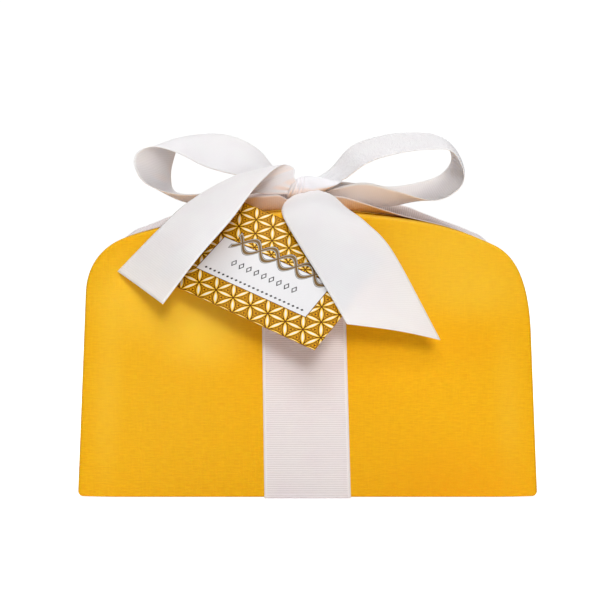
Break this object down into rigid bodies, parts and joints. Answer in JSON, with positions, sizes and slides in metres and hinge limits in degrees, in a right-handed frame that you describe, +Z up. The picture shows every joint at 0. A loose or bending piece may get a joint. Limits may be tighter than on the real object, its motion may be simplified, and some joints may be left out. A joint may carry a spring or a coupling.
{
  "type": "shut gift box of festive bread",
  "caption": "Low rounded gift box of linen-embossed card, tied both ways with a wide grosgrain ribbon, with a bow and a loose patterned tag in front.",
  "frame": {"origin": "middle of the underside, on the surface that the box stands on, where the two bands of ribbon cross", "axes": "+Z up, +X to the right of the front panel, the front panel with the tag faces -Y"},
  "size_m": [0.2688, 0.2648, 0.2143],
  "materials": {
    "yellow_linen_card": "matt card embossed with a fine linen weave",
    "white_grosgrain": "matt ribbed ribbon with a plain woven edge",
    "tag_card": "satin printed card, a traditional petal lattice in gold, white and brown"
  },
  "bodies": {
    "root": {"box": "yellow_linen_card", "ribbon_wrap": "white_grosgrain", "bow_knot": "white_grosgrain", "bow_loop_left": "white_grosgrain", "bow_loop_right": "white_grosgrain", "bow_tail_left": "white_grosgrain", "bow_tail_right": "white_grosgrain", "tag": "tag_card"}
  },
  "joints": []
}
